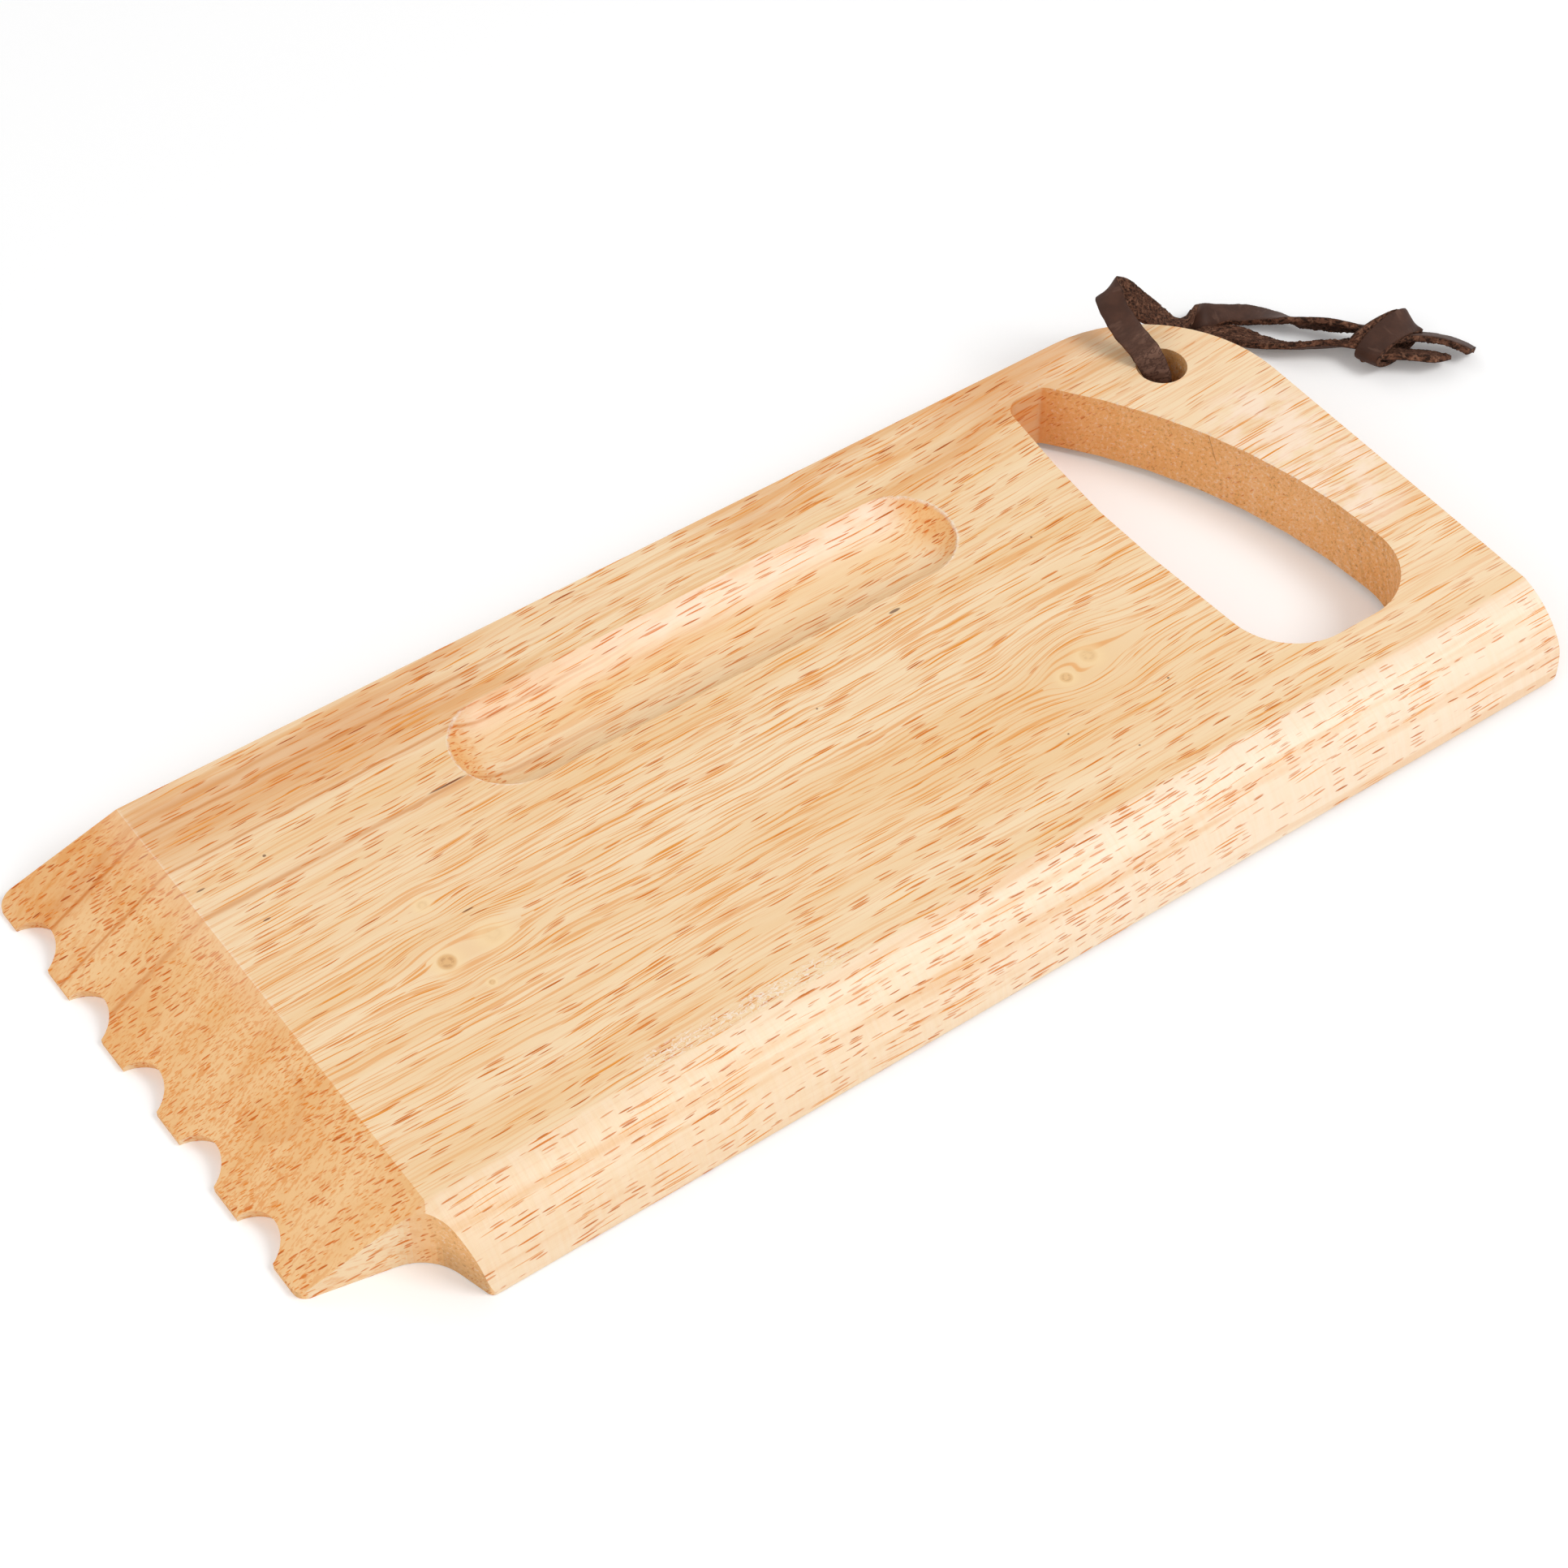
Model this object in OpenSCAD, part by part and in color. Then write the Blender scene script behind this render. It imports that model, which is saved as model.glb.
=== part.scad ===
// Wooden grill scraper: a one-piece bevelled board with a notched scraping edge, a hook notch,
// a finger groove, a handle opening and a flat leather thong knotted through its hanging hole.
// The long side with the hook notch is rounded over, and the others are cut square.
// +X points to the handle end, +Y to the side with the groove and the hole, +Z up.
// The origin is on the surface that the scraper lies on, under the middle of the board's outline.

/* [Board] */
// Length from the scraping edge to the handle end
board_l = 259.5; // [240:0.5:300]
// Width across the two long sides
board_w = 113; // [110:0.5:140]
// Thickness of the flat middle
board_t = 14.5; // [12:0.5:18]
// How far the rounded side reaches in over the top
round_w = 13; // [8:0.5:14]
// Radius of the rounded side, seen along the board
round_r = 17.5; // [16:0.5:30]
// Plan radius of the corner beside the hanging hole
hole_corner_r = 30; // [20:0.5:32]
// Plan radius of the other handle-end corner
near_corner_r = 2.5; // [1:0.5:6]

/* [Scraping edge] */
// Length of the bevel, along the board
bevel_l = 23; // [18:0.5:26]
// Thickness left at the very edge
edge_t = 0.8; // [0.5:0.1:2]
// How much further the edge reaches on the groove side than beside the hook notch
edge_skew = 1; // [0:0.1:3]
// Angle at which the corner tooth on the groove side spreads out from the long side
tooth_spread = 13; // [0:0.5:18]
// Plan radius of that corner tooth
far_tooth_r = 2.5; // [1:0.5:6]
// Plan radius of the corner tooth beside the hook notch
near_tooth_r = 2.5; // [1:0.5:4]
// Number of round notches for the grate's bars
notch_count = 5; // [3:1:5]
// Distance from one notch to the next
notch_pitch = 18.6; // [15:0.2:20]
// Diameter of the cutter that makes each notch
notch_d = 11.4; // [8:0.2:13]
// Depth of each notch, along the board
notch_depth = 5.3; // [3:0.1:6]
// How far the notches lean from upright, towards square with the bevel
notch_lean = 26; // [0:1:32]
// Middle of the row of notches, from the outline's middle towards the groove side
notch_row_y = 8.8; // [6:0.2:10]

/* [Hook notch] */
// How far the hook notch reaches back from the scraping edge, at the long side
hook_l = 26.5; // [24:0.5:34]
// How far it reaches in from the long side, at the scraping edge
hook_w = 17; // [14:0.5:19]
// Angle of its long flank to the length of the board
hook_flank_angle = 11.5; // [5:0.5:14]
// Angle of its short flank to the width of the board
hook_end_angle = 16; // [5:0.5:25]
// Radius of its inner end
hook_r = 10; // [5:0.5:11]
// Radius where its short flank meets the long side
hook_lip_r = 1.5; // [0.5:0.5:3]

/* [Handle opening] */
// Length of the opening, across the board
opening_l = 82.5; // [76:0.5:88]
// Width of its wide end
opening_w = 36.2; // [32:0.2:40]
// Width of its narrow end
opening_tip_w = 9.2; // [8:0.2:14]
// Wood between the opening and the handle end
rail_w = 13.8; // [12:0.2:20]
// Middle of the opening, from the outline's middle towards the groove side
opening_y = 4.6; // [1:0.2:6]
// Corner radius at both sides of the wide end
opening_wide_r = 14; // [8:0.5:15]
// Corner radius at the finger side of the narrow end
opening_tip_r = 3.8; // [2:0.2:4.4]
// Corner radius at the palm side of the narrow end
opening_palm_tip_r = 2.2; // [1:0.2:3]
// How far the palm side bows out from straight
palm_bow = 14.7; // [8:0.5:16]
// How far the finger side bows out from straight
finger_bow = 3.6; // [2:0.2:6]

/* [Finger groove] */
// Length of the groove at the top face
groove_l = 107; // [70:1:120]
// Width of the groove at the top face
groove_w = 22; // [16:0.5:26]
// Depth of the groove
groove_depth = 5; // [3:0.5:7]
// Middle of the groove, along the board from its middle
groove_x = 0; // [-15:0.5:10]
// Middle of the groove, from the outline's middle
groove_y = 28.9; // [24:0.1:30]

/* [Hanging hole] */
// Diameter of the hole
hole_d = 10; // [8:0.5:12]
// Centre of the hole, from the handle end
hole_from_end = 17.3; // [15:0.1:22]
// Centre of the hole, from the long side next to it
hole_from_side = 17; // [15:0.5:24]

/* [Thong] */
// Width of the flat leather thong
thong_w = 5.5; // [4:0.1:6]
// Thickness of the thong
thong_t = 1.5; // [1:0.1:1.6]

/* [Hidden] */
$fn = 96;

wood = [0.90, 0.74, 0.53];
leather = [0.30, 0.20, 0.17];

// Overshoot of every cutter past the face that it leaves
cut = 1;
// Turn of each short side that stands for a round stretch of an outline
arc_step = 6;

front_x = -board_l / 2;
end_x = board_l / 2;
// How far the corner tooth stands out past the long side, once its corner is rounded
tooth_out = bevel_l * tan(tooth_spread) - far_tooth_r * (tan(tooth_spread) + 1 / cos(tooth_spread) - 1);
near_y = -(board_w + tooth_out) / 2;
far_y = near_y + board_w;
hole_x = end_x - hole_from_end;
hole_y = far_y - hole_from_side;

// The thong under the hole lifts the handle end a little off the surface below
thong_gap = 0.1;
lift_at_hole = thong_t + 2 * thong_gap;
rest_tilt = asin(lift_at_hole / (hole_x - hole_d / 2 - front_x));

// The board's own flat frame, turned about the scraping edge's lower line to lie at rest
module at_rest() {
    translate([front_x, 0, 0])
        rotate([0, -rest_tilt, 0])
            translate([-front_x, 0, 0])
                children();
}

// Direction from point a to point b, of length one
function towards(a, b) = (b - a) / norm(b - a);

// The corner at point b of an outline a, b, c, replaced by an arc of radius r that touches both
// sides. The outline runs anticlockwise, so a corner that turns left is convex.
function round_corner(a, b, c, r) =
    r == 0 ? [b] :
    let (
        back = towards(b, a),
        ahead = towards(b, c),
        half = acos(back * ahead) / 2,
        centre = b + towards([0, 0], back + ahead) * r / sin(half),
        from = b + back * r / tan(half) - centre,
        side = sign(ahead.x * back.y - ahead.y * back.x),
        turn = side * (180 - 2 * half),
        steps = max(2, ceil(abs(turn) / arc_step)))
    [for (i = [0:steps])
        let (angle = turn * i / steps)
        centre + [from.x * cos(angle) - from.y * sin(angle), from.x * sin(angle) + from.y * cos(angle)]];

// An outline whose corners, [x, y, radius] each, are rounded
function rounded(corners) =
    let (n = len(corners), at = [for (c = corners) [c.x, c.y]])
    [for (i = [0:n - 1]) each
        round_corner(at[(i + n - 1) % n], at[i], at[(i + 1) % n], corners[i][2])];

// Where the hook notch's two flanks would meet without their radius
hook_mouth = [front_x + edge_skew, near_y + hook_w];
hook_lip = [front_x + hook_l, near_y];
hook_reach =
    let (
        gap = hook_lip - hook_mouth,
        flank = [cos(hook_flank_angle), -sin(hook_flank_angle)],
        end = [-sin(hook_end_angle), cos(hook_end_angle)])
    (gap.x * end.y - gap.y * end.x) / (flank.x * end.y - flank.y * end.x);
hook_root = hook_mouth + hook_reach * [cos(hook_flank_angle), -sin(hook_flank_angle)];

board_corners = [
    [hook_lip.x, hook_lip.y, hook_lip_r],
    [end_x, near_y, near_corner_r],
    [end_x, far_y, hole_corner_r],
    [front_x + bevel_l, far_y, 0],
    [front_x, far_y + bevel_l * tan(tooth_spread), far_tooth_r],
    [hook_mouth.x, hook_mouth.y, near_tooth_r],
    [hook_root.x, hook_root.y, hook_r],
];

// Radius of an arc at point b that uses up the given share of its shorter side, once the
// corners at a and c have taken lengths of ra and rc
function bow_radius(a, b, c, ra, rc, share) =
    share * min(norm(a - b) - ra, norm(c - b) - rc) * tan(acos(towards(b, a) * towards(b, c)) / 2);

// The opening's sides: fingers go in from the board's middle, the palm closes on the rail
palm_x = end_x - rail_w;
finger_x = palm_x - opening_w;
finger_lean = 0.9;
opening_far_y = opening_y + opening_l / 2;
opening_near_y = opening_y - opening_l / 2;
palm_share = 0.63;
finger_share = 0.6;
palm_near = [palm_x, opening_near_y];
palm_far = [finger_x + finger_lean + opening_tip_w, opening_far_y];
palm_mid = palm_near + palm_share * (palm_far - palm_near) + [palm_bow, 0];
finger_near = [finger_x, opening_near_y];
finger_far = [finger_x + finger_lean, opening_far_y];
finger_mid = finger_near + finger_share * (finger_far - finger_near) - [finger_bow, 0];

opening_corners = [
    [palm_near.x, palm_near.y, opening_wide_r],
    [palm_mid.x, palm_mid.y,
        bow_radius(palm_near, palm_mid, palm_far, opening_wide_r, opening_palm_tip_r / 2, 0.97)],
    [palm_far.x, palm_far.y, opening_palm_tip_r],
    [finger_far.x, finger_far.y, opening_tip_r],
    [finger_mid.x, finger_mid.y,
        bow_radius(finger_near, finger_mid, finger_far, opening_wide_r, opening_tip_r, 0.5)],
    [finger_near.x, finger_near.y, opening_wide_r],
];

bevel_angle = atan((board_t - edge_t) / bevel_l);

// What the rounded side leaves over, outside its arc, along the whole board
module round_waste() {
    crease = [near_y + round_w, board_t];
    foot = [near_y, 0];
    chord = crease - foot;
    inward = [chord.y, -chord.x] / norm(chord);
    arc_centre = (crease + foot) / 2 + sqrt(round_r * round_r - chord * chord / 4) * inward;
    translate([front_x - cut, 0, 0])
        rotate([90, 0, 90])
            linear_extrude(board_l + 2 * cut)
                difference() {
                    translate([near_y - cut, 0]) square([round_w + cut, board_t + cut]);
                    translate(arc_centre) circle(round_r);
                }
}

// Everything above the bevel, from the break line to past the scraping edge
module bevel_waste() {
    translate([front_x, 0, edge_t])
        rotate([0, -bevel_angle, 0])
            translate([-board_t, near_y - cut, 0])
                cube([board_t + bevel_l / cos(bevel_angle) + cut, board_w + bevel_l, 2 * board_t]);
}

// The round notches, cut by a leaning cutter whose rim reaches notch_depth past the edge
module notches() {
    for (i = [0:notch_count - 1]) {
        y = notch_row_y + (i - (notch_count - 1) / 2) * notch_pitch;
        tip_x = front_x + edge_skew * (far_y - y) / (board_w - hook_w);
        translate([tip_x + notch_depth, y, edge_t])
            rotate([0, -notch_lean, 0])
                translate([-notch_d / 2, 0, -board_t])
                    cylinder(h = 2 * board_t, d = notch_d);
    }
}

// A cove with round ends, as a ball cutter leaves it
module groove() {
    ball_r = (pow(groove_w / 2, 2) + pow(groove_depth, 2)) / (2 * groove_depth);
    run = groove_l - groove_w;
    translate([groove_x - run / 2, groove_y, board_t - groove_depth + ball_r]) {
        sphere(ball_r);
        translate([run, 0, 0]) sphere(ball_r);
        rotate([0, 90, 0]) cylinder(h = run, r = ball_r);
    }
}

module board() {
    color(wood)
        at_rest()
            difference() {
                linear_extrude(board_t) polygon(rounded(board_corners));
                round_waste();
                bevel_waste();
                notches();
                groove();
                translate([0, 0, -cut]) linear_extrude(board_t + 2 * cut) polygon(rounded(opening_corners));
                translate([hole_x, hole_y, -cut]) cylinder(h = board_t + 2 * cut, d = hole_d);
            }
}

// The thong's middle line: [x, y, z, and the way its width points, as an azimuth and a height
// angle]. It runs from the knot over the corner, down the hole and back under the board.
thong_route = [
    [161, 33.4, 4.2, 48, -46],
    [159.2, 35.8, 3.8, 46, -54],
    [156.8, 39.3, 3.1, 44, -56],
    [153.8, 42.5, 2.8, 46, -48],
    [151.2, 46.5, 2.3, 52, -24],
    [147.4, 50.9, 1.9, 60, -4],
    [141.8, 54.4, 2.1, 74, 0],
    [136, 55.4, 3.4, 88, 8],
    [131.2, 55, 6.2, 92, 30],
    [125.8, 54.2, 11.3, 84, 52],
    [119.9, 53.3, 17.4, 58, 52],
    [114.8, 52.9, 22.5, 24, 36],
    [111, 52.3, 25.1, 2, 30],
    [109, 49, 24.6, -8, 25],
    [109, 44.4, 22, -12, 20],
    [110.4, 40, 18.6, -20, 10],
    [111.3, 37.2, 14.6, -35, 0],
    [111.4, 36.9, 10.8, -40, 0],
    [111.6, 37.1, 6.8, -40, 0],
    [112.6, 38.3, 3.1, -45, 0],
    [115.2, 40.3, 0.95, -50, 0],
    [120.2, 43.3, 0.85, -60, 0],
    [126.2, 46.8, 0.85, -65, 0],
    [132.4, 49.8, 0.85, -72, 0],
    [137.8, 50.9, 0.9, -92, 0],
    [141.8, 48.3, 1.1, -118, 6],
    [144.4, 43.6, 1.5, -130, 20],
    [147.5, 38.8, 2.3, -132, 40],
    [151.8, 35.5, 2.8, -133, 46],
    [155.6, 32.9, 3, -133, 44],
    [157.8, 31, 3.1, -133, 40],
];
// The two tails beyond the knot, in the same form, with the share of the width left as they end
upper_tail = [
    [163, 27.8, 4.4, -134, 20, 1],
    [166.6, 26.6, 3.9, -134, 32, 1],
    [170.1, 25.1, 3.2, -134, 32, 1],
    [172.9, 22.8, 3, -134, 32, 1],
    [174.8, 20.4, 2.9, -138, 32, 1],
    [176, 17.9, 2.8, -146, 32, 1],
    [176.8, 15.9, 2.7, -152, 32, 0.8],
];
lower_tail = [
    [160.4, 26, 3.8, -134, 10, 1],
    [163.3, 23.4, 3.3, -134, 28, 1],
    [166.3, 21.1, 3, -134, 30, 1],
    [168.9, 19.1, 2.8, -134, 30, 1],
    [171.6, 17.1, 2.6, -134, 30, 0.4],
];
// Middle of the knot, and its turns: [shift along the strands, half length, half height]
knot_at = [164.2, 26.8, 4.6];
knot_azimuth = 18;
knot_turns = [[0, 6.7, 3.3], [-1.8, 5.3, 2.4]];
// Height angle of a turn's width: its mean, and its swing from one end of the oval to the other
knot_lean = -14;
knot_swing = 26;
// Rings swept between two points of a route, and round each turn of the knot
rings_per_span = 3;
rings_per_turn = 24;
// Share of the thong's width and thickness taken off each corner of its section
thong_corner = 0.25;

// A smooth line through the route's rows, at row i plus share s
function smooth(rows, i, s) =
    let (
        last = len(rows) - 1,
        a = rows[max(i - 1, 0)], b = rows[i],
        c = rows[min(i + 1, last)], d = rows[min(i + 2, last)])
    0.5 * (2 * b + (c - a) * s + (2 * a - 5 * b + 4 * c - d) * s * s + (3 * b - a - 3 * c + d) * s * s * s);

function resampled(rows) =
    [for (i = [0:len(rows) - 2], k = [0:rings_per_span - 1]) smooth(rows, i, k / rings_per_span),
     rows[len(rows) - 1]];

function at(row) = [row[0], row[1], row[2]];
function across(row) = [cos(row[4]) * cos(row[3]), cos(row[4]) * sin(row[3]), sin(row[4])];

// The eight corners of the thong's section, square with the direction of travel
function thong_ring(row, travel) =
    let (
        flat = across(row) - (across(row) * travel) * travel,
        share = len(row) > 5 ? row[5] : 1,
        wide = flat / norm(flat) * share * thong_w / 2,
        thick = cross(travel, flat / norm(flat)) * thong_t / 2,
        in = 1 - 2 * thong_corner)
    [for (c = [[1, in], [in, 1], [-in, 1], [-1, in], [-1, -in], [-in, -1], [in, -1], [1, -in]])
        at(row) + c.x * wide + c.y * thick];

// A closed skin over rings of eight points, ending in two caps or joined round to its start
module skin(rings, round = false) {
    sides = 8;
    count = len(rings);
    spans = round ? count : count - 1;
    walls = [for (i = [0:spans - 1], k = [0:sides - 1])
        let (here = i * sides, next = (i + 1) % count * sides, turn = (k + 1) % sides)
        [here + k, next + k, next + turn, here + turn]];
    caps = [[for (k = [0:sides - 1]) k], [for (k = [sides - 1:-1:0]) (count - 1) * sides + k]];
    polyhedron(points = [for (ring = rings) each ring], faces = round ? walls : concat(walls, caps), convexity = 6);
}

// The flat thong along a route
module strip(route) {
    line = resampled(route);
    last = len(line) - 1;
    skin([for (i = [0:last])
        thong_ring(line[i], towards(at(line[max(i - 1, 0)]), at(line[min(i + 1, last)])))]);
}

// One turn of the thong round the knot, an upright oval whose width points along the strands
module turn_of_thong(shift, half_l, half_h) {
    along = knot_azimuth - 90;
    middle = knot_at + shift * [cos(along), sin(along), 0];
    long = [cos(knot_azimuth), sin(knot_azimuth), 0];
    skin([for (i = [0:rings_per_turn - 1])
        let (
            a = 360 * i / rings_per_turn,
            p = middle + half_l * cos(a) * long + [0, 0, half_h * sin(a)],
            travel = half_h * cos(a) * [0, 0, 1] - half_l * sin(a) * long)
        thong_ring([p.x, p.y, p.z, along, knot_lean - knot_swing * cos(a)], travel / norm(travel))],
        round = true);
}

module thong_loop() {
    color(leather) strip(thong_route);
}

module thong_knot() {
    color(leather) {
        for (t = knot_turns) turn_of_thong(t[0], t[1], t[2]);
        strip(upper_tail);
        strip(lower_tail);
    }
}

board();
thong_loop();
thong_knot();
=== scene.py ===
# Looks of the wooden grill scraper: camera, light, the leather thong and its knot, and the wood.
import math

import bpy
import numpy as np
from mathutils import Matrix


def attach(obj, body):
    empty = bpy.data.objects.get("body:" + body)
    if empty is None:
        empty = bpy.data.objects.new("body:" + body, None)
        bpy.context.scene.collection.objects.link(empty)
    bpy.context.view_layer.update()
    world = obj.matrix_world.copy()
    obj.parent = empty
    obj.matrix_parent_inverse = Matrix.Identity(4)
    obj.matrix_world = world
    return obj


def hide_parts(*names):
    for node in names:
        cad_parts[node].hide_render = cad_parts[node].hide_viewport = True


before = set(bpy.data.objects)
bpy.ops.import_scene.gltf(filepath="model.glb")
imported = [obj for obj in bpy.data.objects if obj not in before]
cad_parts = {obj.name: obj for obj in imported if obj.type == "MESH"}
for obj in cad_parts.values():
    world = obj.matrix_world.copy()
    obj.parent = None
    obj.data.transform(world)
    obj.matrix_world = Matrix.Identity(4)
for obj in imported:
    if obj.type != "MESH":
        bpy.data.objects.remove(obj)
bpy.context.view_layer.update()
print("frame loaded:", sorted(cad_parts))

# The camera, fitted to the board's straight edges, its corners and the hanging hole
view = {
    "place": (-0.2563108, -0.3428735, 0.4833153),
    "turn": (41.6234, -0.5544, -35.7170),  # degrees about X, Y and Z
    "lens": 82.9116,  # millimetres
    "sensor": 36,
    "range": (0.01, 20),  # metres
}


def makeCamera(v):
    cam = bpy.data.objects.new("photoCamera", bpy.data.cameras.new("photoCamera"))
    bpy.context.scene.collection.objects.link(cam)
    cam.location = v["place"]
    cam.rotation_euler = [math.radians(a) for a in v["turn"]]
    cam.data.lens = v["lens"]
    cam.data.sensor_width = v["sensor"]
    cam.data.clip_start, cam.data.clip_end = v["range"]
    bpy.context.scene.camera = cam


makeCamera(view)
print("camera set")


# One node: its type, its settings, and the values or links of its sockets
def addNode(tree, kind, inputs=(), out=0, **settings):
    n = tree.nodes.new("ShaderNode" + kind)
    for k, v in settings.items():
        setattr(n, k, v)
    for k, v in dict(inputs).items():
        if isinstance(v, Wire):
            tree.links.new(v.out, n.inputs[k])
        else:
            n.inputs[k].default_value = v
    return Wire(tree, n.outputs[out])


# Shader maths: an output that takes the usual operators
class Wire:
    def __init__(self, tree, out):
        self.tree, self.out = tree, out

    def math(self, op, *values, clamp=False):
        return addNode(self.tree, "Math", enumerate(values), operation=op, use_clamp=clamp)

    def __add__(self, o):
        return self.math("ADD", self, o)

    def __sub__(self, o):
        return self.math("SUBTRACT", self, o)

    def __rsub__(self, o):
        return self.math("SUBTRACT", o, self)

    def __mul__(self, o):
        return self.math("MULTIPLY", self, o)

    def __truediv__(self, o):
        return self.math("DIVIDE", self, o)

    def __neg__(self):
        return self.math("MULTIPLY", self, -1)

    def __abs__(self):
        return self.math("ABSOLUTE", self)

    __radd__, __rmul__ = __add__, __mul__

    def root(self):
        return self.math("SQRT", self)

    def exp(self):
        return self.math("EXPONENT", self)

    def sine(self):
        return self.math("SINE", self)

    def atLeast(self, low):
        return self.math("MAXIMUM", self, low)

    def clip(self):  # held between 0 and 1
        return self.math("ADD", self, 0, clamp=True)

    def smooth(self, low, high):  # 0 at low, 1 at high, eased between
        return addNode(self.tree, "MapRange", enumerate((self, low, high)), interpolation_type="SMOOTHSTEP")

    def fall(self, low, high):  # 1 at low, 0 at high
        return 1 - self.smooth(low, high)

    def near(self, low, high):  # 1 within low of nought, 0 beyond high, on both sides
        return abs(self).fall(low, high)

    def other(self, name):  # another output of the same node
        return Wire(self.tree, self.out.node.outputs[name])


class Paint:  # one material and its nodes
    def __init__(self, name):
        self.mat = bpy.data.materials.new(name)
        self.mat.use_nodes = True
        self.tree = self.mat.node_tree
        self.tree.nodes.clear()
        self.end = self.tree.nodes.new("ShaderNodeOutputMaterial")

    def node(self, kind, inputs=(), out=0, **settings):
        return addNode(self.tree, kind, inputs, out, **settings)

    def xyz(self, vector):
        outputs = self.node("SeparateXYZ", {0: vector}).out.node.outputs
        return [Wire(self.tree, o) for o in outputs]

    def point(self, x, y, z):
        return self.node("CombineXYZ", {0: x, 1: y, 2: z})

    def noise(self, place, scale, detail, rough):
        inputs = {"Vector": place, "Scale": scale, "Detail": detail, "Roughness": rough}
        return self.node("TexNoise", inputs)

    def mix(self, share, under, over, blend="MIX"):  # the node holds the share between 0 and 1
        return self.node("Mix", {0: share, 6: under, 7: over}, 2, data_type="RGBA", blend_type=blend)

    def finish(self, inputs):
        shader = self.node("BsdfPrincipled", inputs)
        self.tree.links.new(shader.out, self.end.inputs[0])
        return self.mat


def srgb(r, g, b):  # 0 to 255 as seen, to the linear values that sockets take
    def lin(c):
        c = c / 255
        return c / 12.92 if c <= 0.04045 else ((c + 0.055) / 1.055) ** 2.4

    return (lin(r), lin(g), lin(b), 1)


# The thong, a flat strip of leather: sizes in metres
thong = {
    "width": 0.0055,
    "thick": 0.0015,
    "power": 7,  # of the superellipse that is its section
    "step": 0.00022,  # length of one ring
    "around": 28,  # points round one ring
    "rowPoints": 40,  # points between two rows of a route, before it is cut into even steps
    "ringPoints": 90,  # rings of one turn of the knot
    "bumps": (0.00001, 0.00007),  # on the smooth face, and how much more on the flesh side
    "grain": ((1, 0.6), (3, 0.8), (9, 1.0)),  # reach in rings and share of each layer of bumps
    "seed": 7,
}

# Rows of a route: x, y, z in millimetres, and the way the width points, as an azimuth and a
# height angle in degrees. A height angle that runs on past a right angle is a twist.
upperRoute = [
    (164.0, 27.5, 5.2, 60, -190),
    (161.9, 31.4, 4.8, 52, -216),
    (159.2, 35.8, 3.8, 46, -234),
    (156.8, 39.3, 3.1, 44, -236),
    (153.8, 42.5, 2.8, 46, -228),
    (151.2, 46.5, 2.3, 52, -204),
    (147.4, 50.9, 1.9, 60, -184),
    (141.8, 54.4, 2.1, 74, -172),
    (136.0, 55.2, 3.2, 88, -78),
    (131.2, 54.6, 5.4, 92, 8),
    (125.8, 53.4, 10.2, 84, 52),
    (119.9, 52.6, 16.6, 62, 60),
    (114.8, 52.9, 22.5, 24, 36),
    (111.0, 52.3, 25.1, 2, 30),
    (109.0, 49.0, 24.6, -8, 25),
    (109.0, 44.4, 22.0, -12, 20),
    (110.4, 40.0, 18.6, -20, 10),
    (111.3, 37.2, 14.6, -35, 0),
    (111.4, 36.9, 10.8, -40, 0),
    (111.5, 37.0, 8.6, -40, 0),
]
lowerRoute = [
    (111.5, 37.0, 8.8, -40, 0),
    (111.6, 37.1, 6.8, -40, 0),
    (112.6, 38.3, 3.1, -45, 0),
    (115.2, 40.3, 0.95, -50, 0),
    (120.2, 43.3, 0.85, -60, 0),
    (126.2, 46.8, 0.85, -65, 0),
    (132.4, 49.8, 0.85, -72, 0),
    (137.8, 50.9, 0.9, -92, 0),
    (141.8, 48.3, 1.1, -118, 6),
    (144.4, 43.6, 1.5, -130, 20),
    (147.5, 38.8, 2.3, -132, 40),
    (151.8, 35.5, 2.8, -133, 46),
    (155.6, 32.9, 3.0, -133, 44),
    (158.6, 30.4, 3.3, -134, 30),
    (162.0, 27.0, 3.6, -134, 10),
]
# A tail's rows end with the share of the full width
upperTail = [
    (163.0, 27.8, 4.4, -134, 20, 1),
    (166.6, 26.6, 3.9, -134, 32, 1),
    (170.1, 25.1, 3.2, -134, 32, 1),
    (172.9, 22.8, 3.0, -134, 32, 1),
    (174.8, 20.4, 2.9, -138, 32, 1),
    (176.0, 17.9, 2.8, -146, 32, 1),
    (176.8, 15.9, 2.7, -152, 32, 0.8),
]
lowerTail = [
    (160.4, 26.0, 3.8, -134, 10, 1),
    (163.3, 23.4, 3.3, -134, 28, 1),
    (166.3, 21.1, 3.0, -134, 30, 1),
    (169.0, 19.0, 2.8, -134, 30, 1.05),
    (171.9, 17.0, 2.6, -134, 30, 0.3),
]
knot = {
    "middle": (163.9, 26.75, 4.05),
    "strands": -80,  # azimuth of the two strands
    # each turn: shift along the strands, shift along its own length, half length, half height,
    # azimuth, lean and swing of the lean, and which side is outside, 1 for the smooth one
    "turns": (
        (0, 0.1, 6.9, 2.6, 10, -14, 26, 1),
        (-2.0, 0.2, 5.65, 1.35, 3, -43, -8, -1),
    ),
}


# A smooth line through rows: each span is the Catmull-Rom cubic of its four nearest rows
def smoothLine(rows, per):
    r = np.array(rows, float)
    p = np.vstack([r[:1], r, r[-1:]])
    s = np.linspace(0, 1, per, endpoint=False)[:, None]
    a, b, c, d = p[:-3, None], p[1:-2, None], p[2:-1, None], p[3:, None]
    cubic = 2 * b + (c - a) * s + (2 * a - 5 * b + 4 * c - d) * s**2 + (3 * b - a - 3 * c + d) * s**3
    return np.vstack([(0.5 * cubic).reshape(-1, r.shape[1]), r[-1:]])


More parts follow.
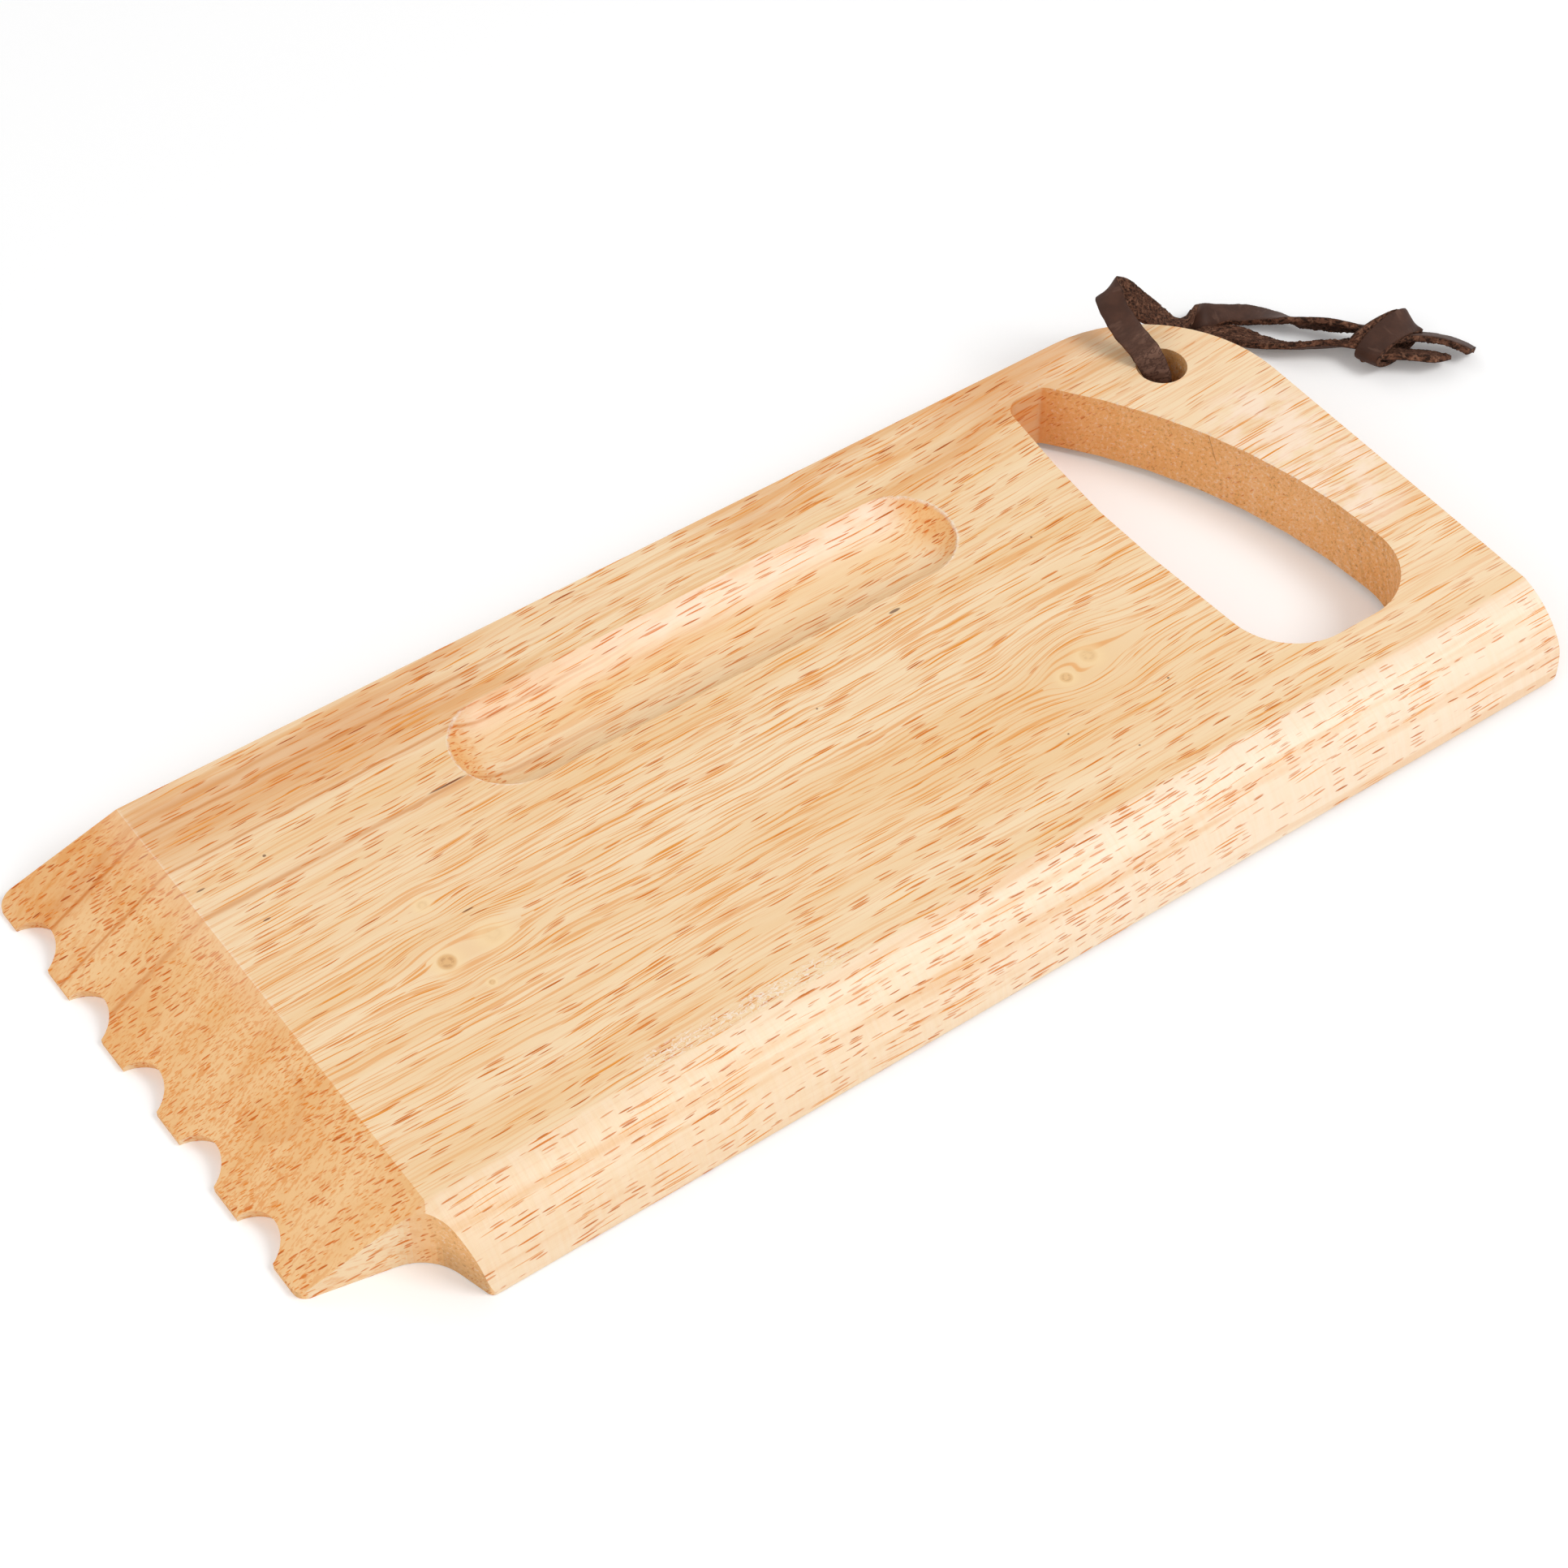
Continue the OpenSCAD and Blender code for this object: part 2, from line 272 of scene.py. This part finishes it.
# The same line again at even steps of length, and the length up to each point
def evenLine(line, step):
    run = np.concatenate([[0], np.cumsum(np.linalg.norm(np.diff(line[:, :3], axis=0), axis=1))])
    at = np.linspace(0, run[-1], int(round(run[-1] / step)))
    return np.stack([np.interp(at, run, line[:, k]) for k in range(line.shape[1])], 1), at


# The thong's section, a superellipse: across = cos(a)^(2/power) and through = sin(a)^(2/power),
# each with its sign, and the face that a point is on, from -1 on the flesh side to 1 on the smooth
def sectionOutline(t):
    a = np.linspace(0, 2 * np.pi, t["around"], endpoint=False) + np.pi / t["around"]
    c, s = np.cos(a), np.sin(a)
    e = 2 / t["power"]
    x = np.sign(c) * np.abs(c) ** e * t["width"] / 2
    y = np.sign(s) * np.abs(s) ** e * t["thick"] / 2
    return x, y, np.sign(s) * np.abs(s) ** 0.6


# Even random bumps, averaged over a reach of rings and half as many points round
def softNoise(rng, n, k, reach):
    a = rng.normal(size=(n, k))
    for axis, r in ((0, reach), (1, (reach + 1) // 2)):
        a = sum(np.roll(a, i, axis) for i in range(r)) / math.sqrt(r)
    return a


# The rings of a strap: each point is the route's point, plus the section's x along the width
# direction made square with the travel, plus its y along their cross product. The width swells by
# two slow sines, and seeded bumps that grow towards the flesh side are added to y
def strapRings(name, line, beat, t, smoothSide, closed):
    p = line[:, :3] / 1000
    az, el = np.radians(line[:, 3]), np.radians(line[:, 4])
    share = line[:, 5] if line.shape[1] > 5 else np.ones(len(line))
    travel = np.roll(p, -1, 0) - np.roll(p, 1, 0) if closed else np.gradient(p, axis=0)
    travel /= np.linalg.norm(travel, axis=1, keepdims=True)
    wide = np.stack([np.cos(el) * np.cos(az), np.cos(el) * np.sin(az), np.sin(el)], 1)
    wide -= (wide * travel).sum(1, keepdims=True) * travel
    wide /= np.linalg.norm(wide, axis=1, keepdims=True)
    thick = np.cross(travel, wide) * smoothSide
    x, y, side = sectionOutline(t)
    rng = np.random.RandomState(t["seed"] + len(name))
    rough = sum(softNoise(rng, len(p), t["around"], reach) * part for reach, part in t["grain"])
    least, more = t["bumps"]
    amount = least + more * np.clip(1 - (side + 1) / 2, 0, 1)
    swell = 1 + 0.02 * np.sin(beat * 0.9 + 1)[:, None] + 0.012 * np.sin(beat * 2.3)[:, None]
    xs = x[None] * share[:, None] * swell
    ys = y[None] * share[:, None] ** 0.7 + rough * amount[None] * np.sign(y)[None]
    rings = p[:, None] + xs[..., None] * wide[:, None] + ys[..., None] * thick[:, None]
    return rings, p, x, side


# A strap swept along rows, as a grid of rings by points round a ring. An open strap gets two
# flat ends, and a closed one joins its last ring to its first. The swell is counted by beat,
# which is millimetres along an open strap and hardly moves round a closed one
def strapMesh(name, rows, t, smoothSide=1, closed=False):
    if closed:
        line, beat = np.array(rows, float), np.arange(len(rows)) * t["step"] * 2
        along = beat
    else:
        line, beat = evenLine(smoothLine(rows, t["rowPoints"]), t["step"] * 1000)
        along = beat / 1000
    rings, p, x, side = strapRings(name, line, beat, t, smoothSide, closed)
    n, k = len(p), t["around"]
    i, j = np.meshgrid(np.arange(n if closed else n - 1), np.arange(k), indexing="ij")
    a, b = i * k + j, (i + 1) % n * k + j
    c, d = (i + 1) % n * k + (j + 1) % k, i * k + (j + 1) % k
    quads = np.stack([a, b, c, d], -1).reshape(-1, 4)
    faces = (quads[:, ::-1] if smoothSide > 0 else quads).tolist()
    if not closed:
        ends = [list(range(k)), [(n - 1) * k + m for m in range(k - 1, -1, -1)]]
        faces += ends if smoothSide > 0 else [e[::-1] for e in ends]
    mesh = bpy.data.meshes.new(name)
    mesh.from_pydata(rings.reshape(-1, 3).tolist(), [], faces)
    values = {"side": np.tile(side, n), "along": np.repeat(along, k), "across": np.tile(x, n)}
    for key, v in values.items():
        mesh.attributes.new(key, "FLOAT", "POINT").data.foreach_set("value", v)
    mesh.polygons.foreach_set("use_smooth", [True] * len(faces))
    obj = bpy.data.objects.new(name, mesh)
    bpy.context.scene.collection.objects.link(obj)
    return obj, p


# One turn round the knot, an upright oval: half its length times cos(a) along its azimuth and half
# its height times sin(a) upwards. Its width points square to that and leans by lean - swing cos(a)
def turnRows(kn, count, shift, slide, halfLong, halfHigh, azimuth, lean, swing):
    a = np.linspace(0, 2 * np.pi, count, endpoint=False)
    az, strands = math.radians(azimuth), math.radians(kn["strands"])
    mid = np.array(kn["middle"]) + shift * np.array([math.cos(strands), math.sin(strands), 0])
    flat = slide + halfLong * np.cos(a)
    x, y, z = mid[0] + flat * math.cos(az), mid[1] + flat * math.sin(az), mid[2] + halfHigh * np.sin(a)
    return np.column_stack([x, y, z, np.full(count, azimuth - 90), lean - swing * np.cos(a)])


# The leather: a smooth outer face and a rough flesh side
leather = {
    "smooth": srgb(80, 52, 40),
    "smoothDark": srgb(62, 40, 31),
    "smoothPale": srgb(118, 88, 74),
    "flesh": srgb(102, 68, 52),
    "fleshCreviceShade": srgb(38, 24, 18),
    "fleshPaleAndHighlight": srgb(160, 116, 92),
    "worn": (0.082, 0.094),  # metres along the upper strand, where it turns pale and creased
    "bump": (0.9, 0.0003),  # strength, and height in metres
    "gloss": 0.15,
}


def makeLeather(c):
    m = Paint("thongLeather")
    side, along, across = [m.node("Attribute", out=2, attribute_name=k) for k in ("side", "along", "across")]
    place = m.node("TexCoord", out="Object")
    worn = along.smooth(*c["worn"])

    # The smooth face: cloudy, with pale creases, and folded where it is worn
    cloud = m.noise(place, 260, 3, 0.55)
    pores = m.noise(place, 2600, 2, 0.6)
    crease = m.noise(m.point(along * 520, across * 160, 0), 1, 3, 0.6)
    folds = m.noise(m.point(along * 900, across * 420, 3), 1, 3, 0.6)
    paleShare = crease.smooth(0.55, 0.68) * 0.3 + worn * (0.35 + crease.smooth(0.42, 0.6) * 0.5)
    smoothTone = m.mix(cloud.smooth(0.3, 0.8), c["smoothDark"], c["smooth"])
    smoothTone = m.mix(paleShare, smoothTone, c["smoothPale"])
    smoothTone = m.mix(worn * (folds - 0.5).near(0.01, 0.06) * 0.85, smoothTone, c["smoothDark"])

    # The flesh side: fibres along the strip, with painted shade in the dark crevices between them, and pale
    # tufts whose pale tone is partly a painted highlight
    fibres = m.noise(m.point(along * 900, across * 2400, side * 2), 1, 4, 0.7)
    tufts = m.noise(place, 900, 4, 0.65)
    fleshTone = m.mix(fibres.smooth(0.38, 0.6), c["fleshCreviceShade"], c["flesh"])
    fleshTone = m.mix(tufts.smooth(0.5, 0.68) * 0.55, fleshTone, c["fleshPaleAndHighlight"])

    top = side.smooth(0.35, 0.8)
    height = top * (pores * 0.15 + crease * 0.5) + (1 - top) * (fibres * 1.1 + tufts * 1.2)
    strength, distance = c["bump"]
    return m.finish({
        "Base Color": m.mix(top, fleshTone, smoothTone),
        "Roughness": 0.95 - top * 0.42,
        "Normal": m.node("Bump", {"Strength": strength, "Distance": distance, "Height": height}),
        "Specular IOR Level": c["gloss"],
    })


leatherMat = makeLeather(leather)


def addLeather(o):
    o.data.materials.append(leatherMat)
    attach(o, "root")


knotPieces = []
for number, (*turn, face) in enumerate(knot["turns"], 1):
    rows = turnRows(knot, thong["ringPoints"], *turn)
    knotPieces.append(strapMesh(f"knotTurn{number}", rows, thong, face, closed=True)[0])
knotPieces.append(strapMesh("knotTailUpper", upperTail, thong, -1)[0])
knotPieces.append(strapMesh("knotTailLower", lowerTail, thong, 1)[0])
for o in knotPieces:
    addLeather(o)
    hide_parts("thong_knot")

upper, upperPath = strapMesh("thongUpper", upperRoute, thong)
lower, lowerPath = strapMesh("thongLower", lowerRoute, thong)
for o, path in ((upper, upperPath), (lower, lowerPath)):
    addLeather(o)
    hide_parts("thong_loop")
    path[:: max(1, len(path) // 60)].tolist() + [path[-1].tolist()]
print("thong made")

# The wood: places and sizes in millimetres, in the board's own frame
wood = {
    "tilt": 0.4107,  # degrees, the board's lie over its own thong
    "front": 129.75,  # from the middle to the edge that it tilts about
    "height": 14.5,
    "breakLine": -106.75,  # x of the bevel's upper edge
    "roundStart": -45.8,  # y of the rounded side's upper edge
    "groove": (42.5, 28.9, 11),  # half length of its straight part, y of its middle, radius
    "palm": (3.6, -25.4, 111.8),  # middle and radius of the opening's palm side
    "rail": (84, 100),  # x over which the wood grows calmer, beyond the opening
    "cloud": (118, 2, 13, 21),  # middle and reach of a whitish patch on the rail
    "crack": (16.9, 0.38),  # y at its top, and lean
    "figure": (-115.4, -10),  # middle of the curved figure on the bevel
    "tornStrip": (-44.0, -67, -18),  # y, and x of both ends
    "pale": srgb(247, 220, 181),
    "honey": srgb(240, 203, 154),
    "warm": srgb(230, 168, 96),
    "russet": srgb(214, 144, 80),
    "line": srgb(228, 142, 38),
    "dash": srgb(216, 118, 14),
    "dashDark": srgb(166, 78, 10),
    "endGrain": srgb(246, 184, 112),
    "slope": srgb(252, 231, 203),
    # whitened wood, also the colour of the rounded side's painted highlight
    "whitenedAndHighlight": srgb(250, 230, 206),
    "rimPale": srgb(252, 236, 220),
    "knotBrown": srgb(212, 150, 74),
    "knotRing": srgb(150, 88, 38),
    "eye": srgb(250, 219, 168),
    "dark": srgb(84, 34, 10),
    # a pale tint for the rail's cloud, and the colour of the painted highlight and painted light
    "paleTintAndHighlight": srgb(255, 232, 212),
    "hookShade": srgb(150, 118, 82),
    # knots and eyes: place, size, reach of the bend, strength of the bend, brownness
    "knots": (
        (-78.4, -7.4, 1.6, 5.5, 0.8, 0.66),
        (45.8, -16.6, 1.2, 4.0, 0.5, 0.45),
        (52.4, -14.6, 1.7, 7.5, 0.8, 0.25),
        (-68.9, -6.7, 1.9, 5.0, 0.75, 0.1),
        (-74.6, -15.3, 0.6, 2.6, 0.5, 0.4),
        (-75.3, 5.4, 1.0, 3.6, 0.6, 0.15),
    ),
    # growth lines: y where x is -60, slope, width, strength
    "growth": (
        (46.4, 0.004, 0.6, 0.85),
        (50.6, 0.03, 1.6, 0.3),
        (37.0, 0.012, 0.45, 0.75),
        (25.2, 0.02, 0.9, 0.6),
    ),
    # dark specks: place, half length, half width
    "specks": (
        (-91.4, 30.3, 0.35, 0.3),
        (-57.5, 25.9, 4.0, 0.22),
        (-104.0, 29.9, 0.9, 0.2),
        (30.8, 14.4, 1.3, 0.35),
        (60.5, -27.2, 0.25, 0.25),
        (5.2, 3.1, 0.22, 0.22),
        (-98.1, 17.9, 0.8, 0.2),
        (-69.6, 0.1, 1.2, 0.18),
        (37.6, -27.4, 0.22, 0.2),
        (46.1, -36.7, 0.22, 0.2),
        (62.7, 14.9, 0.25, 0.22),
    ),
    # pores: length, width and height of a cell, least reach of a pore in it, shift of the pattern
    "pores": {
        "long": (8.5, 0.54, 1.6, 0.26, 3.1),
        "short": (4.6, 0.5, 1.5, 0.27, 5.6),
        "thin": (15, 0.4, 0.9, 0.24, 8.7),
    },
    "bump": (0.6, 0.00012),  # strength, and height in metres
    "gloss": 0.28,
}


# How far a place is from a middle that lies dx and dy away
def away(dx, dy):
    return (dx * dx + dy * dy).root()


def makeWood(w):
    m = Paint("rubberwood")
    x, y, z0 = [v * 1000 for v in m.xyz(m.node("TexCoord", out="Object"))]
    z = z0 - (x + w["front"]) * math.sin(math.radians(w["tilt"]))
    nx, ny, _ = m.xyz(m.node("TexCoord", out="Normal"))
    across = nx * nx  # how much a face cuts across the fibres

    # The grain: y as the wood counts it. It wanders slowly, rises to the right on the groove's
    # half, and bends round each knot by a bell-shaped push
    wander = m.noise(m.point(x * 0.010, y * 0.028, z * 0.02), 1, 2, 0.4) - 0.5
    wavy = m.noise(m.point(x * 0.05, y * 0.14, z * 0.1), 1, 2, 0.5) - 0.5
    grainY = y + wander * 7 + wavy * 1.5 - x * (0.018 + y.smooth(-5, 25) * 0.022)
    inKnot, brown, ring, paleEye = 0, 0, 0, 0
    for kx, ky, size, reach, push, brownness in w["knots"]:
        dx, dy = x - kx, y - ky
        bell = ((dx * dx * 0.6 + dy * dy) / (-reach * reach)).exp()
        grainY = grainY - dy * bell * push
        off = away(dx, dy) + wavy * 0.6
        inKnot = bell + inKnot
        brown = off.fall(size * 0.75, size * 1.2) * brownness + brown
        ring = (off - size * 0.5).near(0.1, size * 0.3) * brownness + ring
        paleEye = off.fall(size * 0.8, size * 2.6) + paleEye
    inKnot, brown, ring, paleEye = [v.clip() for v in (inKnot, brown, ring, paleEye)]

    # Areas: the far strip, the quiet middle, the rounded side, the bevel and the rail
    farSide = y.smooth(33, 45)
    middle = y.smooth(-40, -22) * y.fall(8, 22)
    nearSide = y.fall(w["roundStart"] - 0.8, w["roundStart"] + 0.5)
    bevel = x.fall(w["breakLine"] - 0.3, w["breakLine"] + 0.3)
    rail = x.smooth(*w["rail"])
    patch = m.noise(m.point(x * 0.014, grainY * 0.06, z * 0.05), 1, 3, 0.55)

    # Tones, all long in X: broad bands, streaks and hair lines
    tone = m.noise(m.point(x * 0.010, grainY * 0.11, z * 0.1), 1, 3, 0.5)
    streak = m.noise(m.point(x * 0.014, grainY * 0.5, z * 0.35), 1, 3, 0.6)
    hair = m.noise(m.point(x * 0.045, grainY * 2.0, z * 1.3), 1, 2, 0.6)
    color = m.mix(tone.smooth(0.32, 0.68), w["pale"], w["honey"])
    color = m.mix(streak.smooth(0.46, 0.66) * (0.13 + farSide * 0.45), color, w["warm"])
    color = m.mix(farSide * patch.smooth(0.42, 0.62) * (0.55 - bevel * 0.42), color, w["russet"])
    color = m.mix(hair.smooth(0.5, 0.62) * (0.32 + middle * 0.22) * (1 - nearSide * 0.5), color, w["line"])

    # The rounded side is whitened, more towards the handle: partly paler wood and partly a painted
    # highlight. It also has warm bands
    ripple = m.noise(m.point(x * 1.3, y * 0.12, z * 0.12), 1, 2, 0.5)
    whitenessAndHighlight = 0.32 + x.smooth(-60, 70) * 0.34 + ripple.smooth(0.3, 0.7) * 0.18
    color = m.mix(nearSide * whitenessAndHighlight, color, w["whitenedAndHighlight"])
    bands = m.noise(m.point(x * 0.012 + 5, y * 0.3, z * 0.3), 1, 3, 0.55)
    color = m.mix(nearSide * bands.smooth(0.5, 0.66) * 0.4, color, w["warm"])

    # A whitish, cloudy patch on the rail
    cx, cy, reachX, reachY = w["cloud"]
    dx, dy = (x - cx) / reachX, (y - cy) / reachY
    cloudy = m.noise(m.point(x * 0.12, y * 0.25, 0), 1, 4, 0.6)
    cloud = (dx * dx + dy * dy).fall(0.5, 1.6) * cloudy.smooth(0.36, 0.62) * 0.6
    color = m.mix(cloud + rail * 0.07, color, w["paleTintAndHighlight"])

    # Painted highlight: the groove's far wall, facing -Y, is painted pale, stronger towards the handle
    grooveHighlight = (-ny).smooth(0.2, 0.6) * y.smooth(26, 29) * y.fall(40.5, 42) * x.near(44, 52)
    grooveHighlight = grooveHighlight * (0.4 + x.smooth(-40, 10) * 0.6)
    color = m.mix(grooveHighlight * (0.35 + cloudy.smooth(0.35, 0.65) * 0.35), color, w["paleTintAndHighlight"])

    # Growth lines, which run over the bevel as well, and the curved figure on the bevel
    for at, slope, wide, strength in w["growth"]:
        off = y - at - (x + 60) * slope + wavy * 1.2
        line = off.near(0.05, wide) * patch.smooth(0.3, 0.5) * x.fall(-60, 10) * strength
        halo = off.near(0, wide * 4) * x.fall(-70, 10) * 0.13
        color = m.mix(line + halo, color, w["russet"])
    fx, fy = w["figure"]
    dx, dy = x - fx, y - fy
    arc = (dx * dx * 1.3 + dy * dy * 0.45).root() + wavy * 5
    waves = (arc * 1.5).sine().smooth(-0.2, 1) * dy.fall(-3, 4)
    color = m.mix(waves * arc.smooth(2, 4) * arc.fall(7, 10) * bevel * 0.2, color, w["russet"])

    # Pores: spindles long in X, one to a cell, and longer in the rays' direction than across it.
    # A cut along the grain shows dashes, the bevel short slanted dashes, and a cut end dots
    def pores(kind, chance):
        long, wide, high, least, shift = w["pores"][kind]
        place = m.point(x / long + shift, (grainY + z * 0.62) / wide, z / high + shift)
        off = m.node("TexVoronoi", {"Vector": place, "Scale": 1}, "Distance")
        lottery, darkness, fat = m.xyz(off.other("Color"))
        reach = fat * 0.16 + least
        return off.fall(reach - 0.09, reach) * (chance - lottery).smooth(0, 0.04), darkness

    sound = 1 - inKnot
    grooveEnds = across.smooth(0.08, 0.3) * x.near(54, 56)
    chance = 0.44 + patch.smooth(0.35, 0.65) * 0.3 + farSide * 0.2 - nearSide * 0.04
    chance = chance * (1 - middle * 0.6) * sound + grooveEnds * 0.6 + bevel * 0.04 - rail * 0.16
    dashes, dashTone = pores("long", chance * (1 - nearSide * 0.72))
    short, shortTone = pores("short", nearSide * (0.24 + patch.smooth(0.4, 0.6) * 0.4))
    thin, thinTone = pores("thin", (0.42 + middle * 0.4) * sound)
    shown = dashes * (1 - rail * 0.4)
    color = m.mix(thin * (0.65 + thinTone * 0.35), color, w["line"])
    color = m.mix(shown * (0.72 + dashTone * 0.28), color, w["dash"])
    color = m.mix(shown * dashTone.smooth(0.8, 1.0) * (0.45 + farSide * 0.4), color, w["dashDark"])
    color = m.mix(short * (0.5 + shortTone * 0.4), color, w["dash"])
    color = m.mix(short * shortTone.smooth(0.7, 0.9) * 0.5, color, w["dashDark"])

    # The knots: a pale eye, a brown middle and a broken ring
    chips = m.noise(m.point(x * 0.9, y * 0.9, 0), 1, 4, 0.7)
    torn = m.noise(m.point(x * 0.9, y * 1.4, z * 1.4), 1, 5, 0.72)
    color = m.mix(paleEye * 0.55, color, w["eye"])
    color = m.mix(brown * 0.85, color, w["knotBrown"])
    color = m.mix(ring * torn.smooth(0.44, 0.54) * 0.5, color, w["knotRing"])

    # Painted light: on the far half the bevel is painted paler towards the break line, softening its shade
    # against the top, and a faint, chipped painted highlight runs along the crest
    paintedBevelLight = bevel * x.smooth(w["breakLine"] - 7, w["breakLine"]) * y.smooth(-12, 12)
    crestHighlight = (x - w["breakLine"]).near(0.1, 0.6) * chips.smooth(0.46, 0.62)
    color = m.mix(paintedBevelLight * 0.3, color, w["paleTintAndHighlight"])
    color = m.mix(crestHighlight * 0.2 * y.smooth(-30, 0), color, w["rimPale"])

    # Faces that cut across the fibres are darker and warmer, and upright ones have a speckle
    # of torn fibres
    upright = across.smooth(0.45, 0.8)
    color = m.mix(across.smooth(0.04, 0.3), color, m.mix(1, color, w["slope"], "MULTIPLY"))
    color = m.mix(across.smooth(0.2, 0.8) * 0.62 * (1 - dashes * 0.8), color, w["endGrain"])
    color = m.mix(upright * torn.smooth(0.52, 0.66) * 0.6, color, w["whitenedAndHighlight"])
    color = m.mix(upright * torn.fall(0.32, 0.46) * 0.55, color, w["knotRing"])

    # The opening's palm side: faint rings at the wide end and a crack that leans as it goes down
    px, py, radius = w["palm"]
    palm = away(x - px, y - py) - radius
    palmSide = upright * x.smooth(80, 90) * palm.near(1.5, 4)
    rings = ((y * 0.9 - z * 0.5 + wavy * 3) * 2.2).sine().smooth(0.2, 1)
    color = m.mix(palmSide * rings * y.fall(-18, -4) * 0.12, color, w["knotRing"])
    crackY, lean = w["crack"]
    crack = (y - crackY + (w["height"] - z) * lean + wavy).near(0.03, 0.17)
    color = m.mix(crack * palmSide * z.smooth(7, 10) * 0.5, color, w["knotRing"])

    # Painted shade: the hook's root is darkened low down
    root = upright * z.fall(1, 10) * y.fall(-44, -38) * x.fall(-100, -80)
    color = m.mix(root * 0.4, color, w["hookShade"])

    # Pale chipped rims: round the groove's ends, and along the opening's palm side
    straight, grooveY, grooveRadius = w["groove"]
    past = (abs(x) - straight).atLeast(0)
    grooveRim = (away(past, y - grooveY) - grooveRadius + 0.1).near(0.1, 0.55) * past.smooth(0.5, 6)
    palmRim = (palm - 0.2).near(0.1, 0.6) * x.smooth(80, 92) * y.smooth(-26, -20)
    rims = grooveRim * chips.smooth(0.35, 0.62) + palmRim * chips.smooth(0.54, 0.66)
    rims = rims * z.smooth(w["height"] - 0.6, w["height"] - 0.1)
    color = m.mix(rims * 0.7, color, w["rimPale"])

    # Specks
    for sx, sy, halfLong, halfWide in w["specks"]:
        dx, dy = (x - sx) / halfLong, (y - sy) / halfWide
        color = m.mix((dx * dx + dy * dy).fall(0.5, 1.2) * 0.75, color, w["dark"])

    # The torn strip beside the rounded side: thin pale flakes and the shade under them
    tornY, start, stop = w["tornStrip"]
    strip = (y - tornY).near(1.0, 2.4) * x.smooth(start, start + 7) * x.fall(stop - 12, stop)
    flake = m.noise(m.point(x * 0.45, y * 0.9, 0), 1, 2, 0.6)
    flaky = strip * (flake - 0.5).near(0.015, 0.05) * chips.smooth(0.4, 0.55)
    color = m.mix(flaky * 0.75, color, w["rimPale"])
    color = m.mix(strip * (flake - 0.56).near(0.008, 0.03) * 0.45, color, w["warm"])

    grit = m.noise(m.point(x * 0.6, grainY * 4, z * 4), 1, 3, 0.6)
    height = grit * 0.3 + hair * 0.25 - (dashes + short) * 0.3 + ripple * nearSide * 1.1
    height = height + upright * torn * 3.5 + flaky * 0.3 + rims * chips * 2
    strength, distance = w["bump"]
    return m.finish({
        "Base Color": color,
        "Roughness": 0.29 + grit * 0.1 + across * 0.4,
        "Normal": m.node("Bump", {"Strength": strength, "Distance": distance, "Height": height}),
        "Specular IOR Level": w["gloss"],
    })


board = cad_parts["board"]
board.data.materials.clear()
board.data.materials.append(makeWood(wood))
print("wood made")

# The floor and the light, in metres
studio = {
    "floor": (0.93, 0.93, 0.93, 1),
    "half": 3.0,  # from the floor's middle to each side
    "glow": 0.12,  # what the camera sees of the floor's own light near the object
    "white": (0.2, 2),  # square of the way from the middle, over which that light rises to 1
    "world": 0.5,
    "lamps": (
        # name, place, size, power
        ("key", (0.63, -0.75, 1.14), 0.62, 9.5),
        ("fill", (-1.15, -0.45, 0.8), 1.2, 6),
        ("back", (-0.1, 1.1, 1.1), 1.0, 2.5),
    ),
}


def makeFloor(s):
    h = s["half"]
    mesh = bpy.data.meshes.new("floor")
    mesh.from_pydata([(-h, -h, 0), (h, -h, 0), (h, h, 0), (-h, h, 0)], [], [(0, 1, 2, 3)])
    floor = bpy.data.objects.new("floor", mesh)
    bpy.context.scene.collection.objects.link(floor)
    m = Paint("floorPaint")
    x, y, _ = m.xyz(m.node("TexCoord", out="Object"))
    far = (x * x + y * y).smooth(*s["white"])
    seen = m.node("LightPath", out="Is Camera Ray")
    floor.data.materials.append(m.finish({
        "Base Color": s["floor"],
        "Roughness": 0.9,
        "Emission Color": seen * (far * (1 - s["glow"]) + s["glow"]),
        "Emission Strength": 1,
    }))


# The world is white to the camera and in reflections, and dimmer as a light
def makeWorld(s):
    world = bpy.data.worlds.new("studio")
    bpy.context.scene.world = world
    world.use_nodes = True
    tree = world.node_tree
    camera = addNode(tree, "LightPath", out="Is Camera Ray")
    seen = (camera + camera.other("Is Glossy Ray") + camera.other("Is Transmission Ray")).clip()
    sky = tree.nodes["Background"]
    sky.inputs["Color"].default_value = (1, 1, 1, 1)
    tree.links.new((seen * (1 - s["world"]) + s["world"]).out, sky.inputs["Strength"])


# A square lamp that looks at the middle
def makeLamp(name, place, size, power):
    lamp = bpy.data.lights.new(name, "AREA")
    lamp.size, lamp.energy = size, power
    o = bpy.data.objects.new(name, lamp)
    bpy.context.scene.collection.objects.link(o)
    o.location = place
    x, y, z = place
    o.rotation_euler = (math.acos(z / math.hypot(x, y, z)), 0, math.atan2(y, x) + math.pi / 2)


makeFloor(studio)
makeWorld(studio)
for lampValues in studio["lamps"]:
    makeLamp(*lampValues)
bpy.context.scene.view_settings.view_transform = "Standard"
print("studio made")
